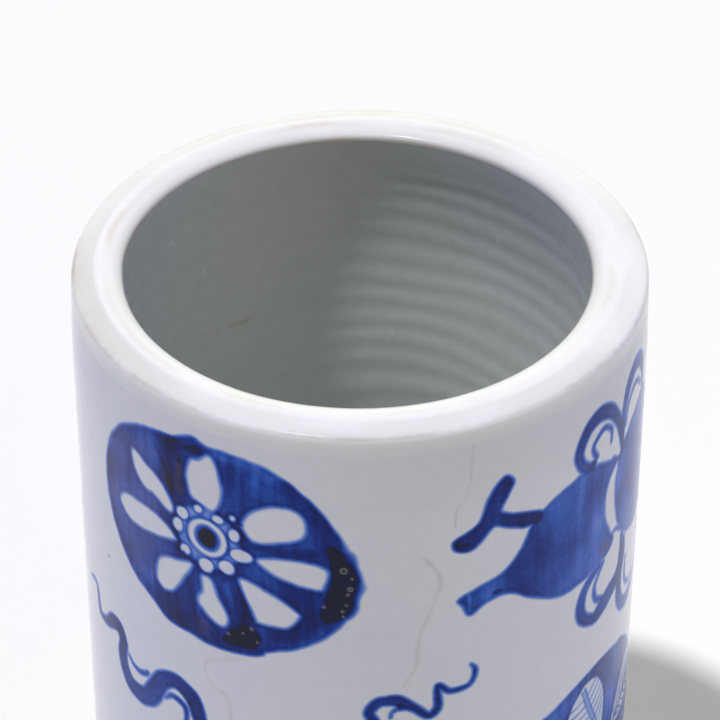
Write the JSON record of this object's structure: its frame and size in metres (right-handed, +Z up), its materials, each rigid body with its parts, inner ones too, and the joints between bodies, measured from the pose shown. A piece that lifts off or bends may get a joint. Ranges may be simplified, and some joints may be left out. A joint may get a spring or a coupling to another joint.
{
  "type": "brush holder pot",
  "caption": "Straight cylindrical glazed porcelain pot with a thick domed rim, a flat inside floor and a turned foot ring, for standing writing brushes in.",
  "frame": {"origin": "centre of the foot ring's resting plane", "axes": "+Z up along the pot's turning axis, -Y towards the side with the round flower and the double gourd"},
  "size_m": [0.1, 0.1, 0.132],
  "materials": {
    "porcelain_body": "matt fired porcelain clay",
    "foot_biscuit": "bare wheel-turned biscuit",
    "outer_glaze": "gloss clear glaze over cobalt-blue painting",
    "rim_glaze": "thin gloss glaze",
    "inner_glaze": "gloss glaze over throwing rings",
    "base_glaze": "gloss glaze"
  },
  "bodies": {
    "root": {"body_wall": "porcelain_body", "rim_band": "porcelain_body", "base_disc": "porcelain_body", "foot_ring": "foot_biscuit", "outer_glaze": "outer_glaze", "rim_glaze": "rim_glaze", "inner_glaze": "inner_glaze", "base_glaze": "base_glaze"}
  },
  "joints": []
}
